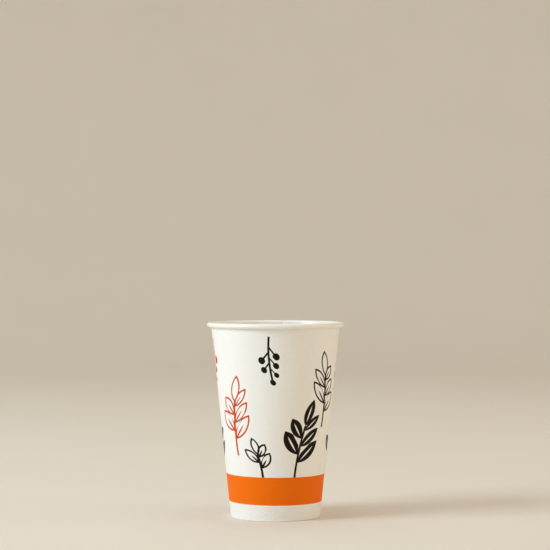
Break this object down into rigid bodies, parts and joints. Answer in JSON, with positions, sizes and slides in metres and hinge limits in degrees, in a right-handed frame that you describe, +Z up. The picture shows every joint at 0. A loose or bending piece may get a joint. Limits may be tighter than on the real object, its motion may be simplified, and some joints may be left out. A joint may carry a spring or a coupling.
{
  "type": "cone paper cup",
  "caption": "Tapered single-wall paper cup with a rolled rim, a lapped side seam and a recessed bottom disc in a folded foot.",
  "frame": {"origin": "centre of the plane that the cup stands on", "axes": "+Z up along the cup's axis, -Y towards the front, +Y towards the side seam"},
  "size_m": [0.09, 0.09, 0.127],
  "materials": {
    "sidewall_board": "satin",
    "disc_board": "satin"
  },
  "bodies": {
    "root": {"sidewall": "sidewall_board", "bottom_disc": "disc_board"}
  },
  "joints": []
}
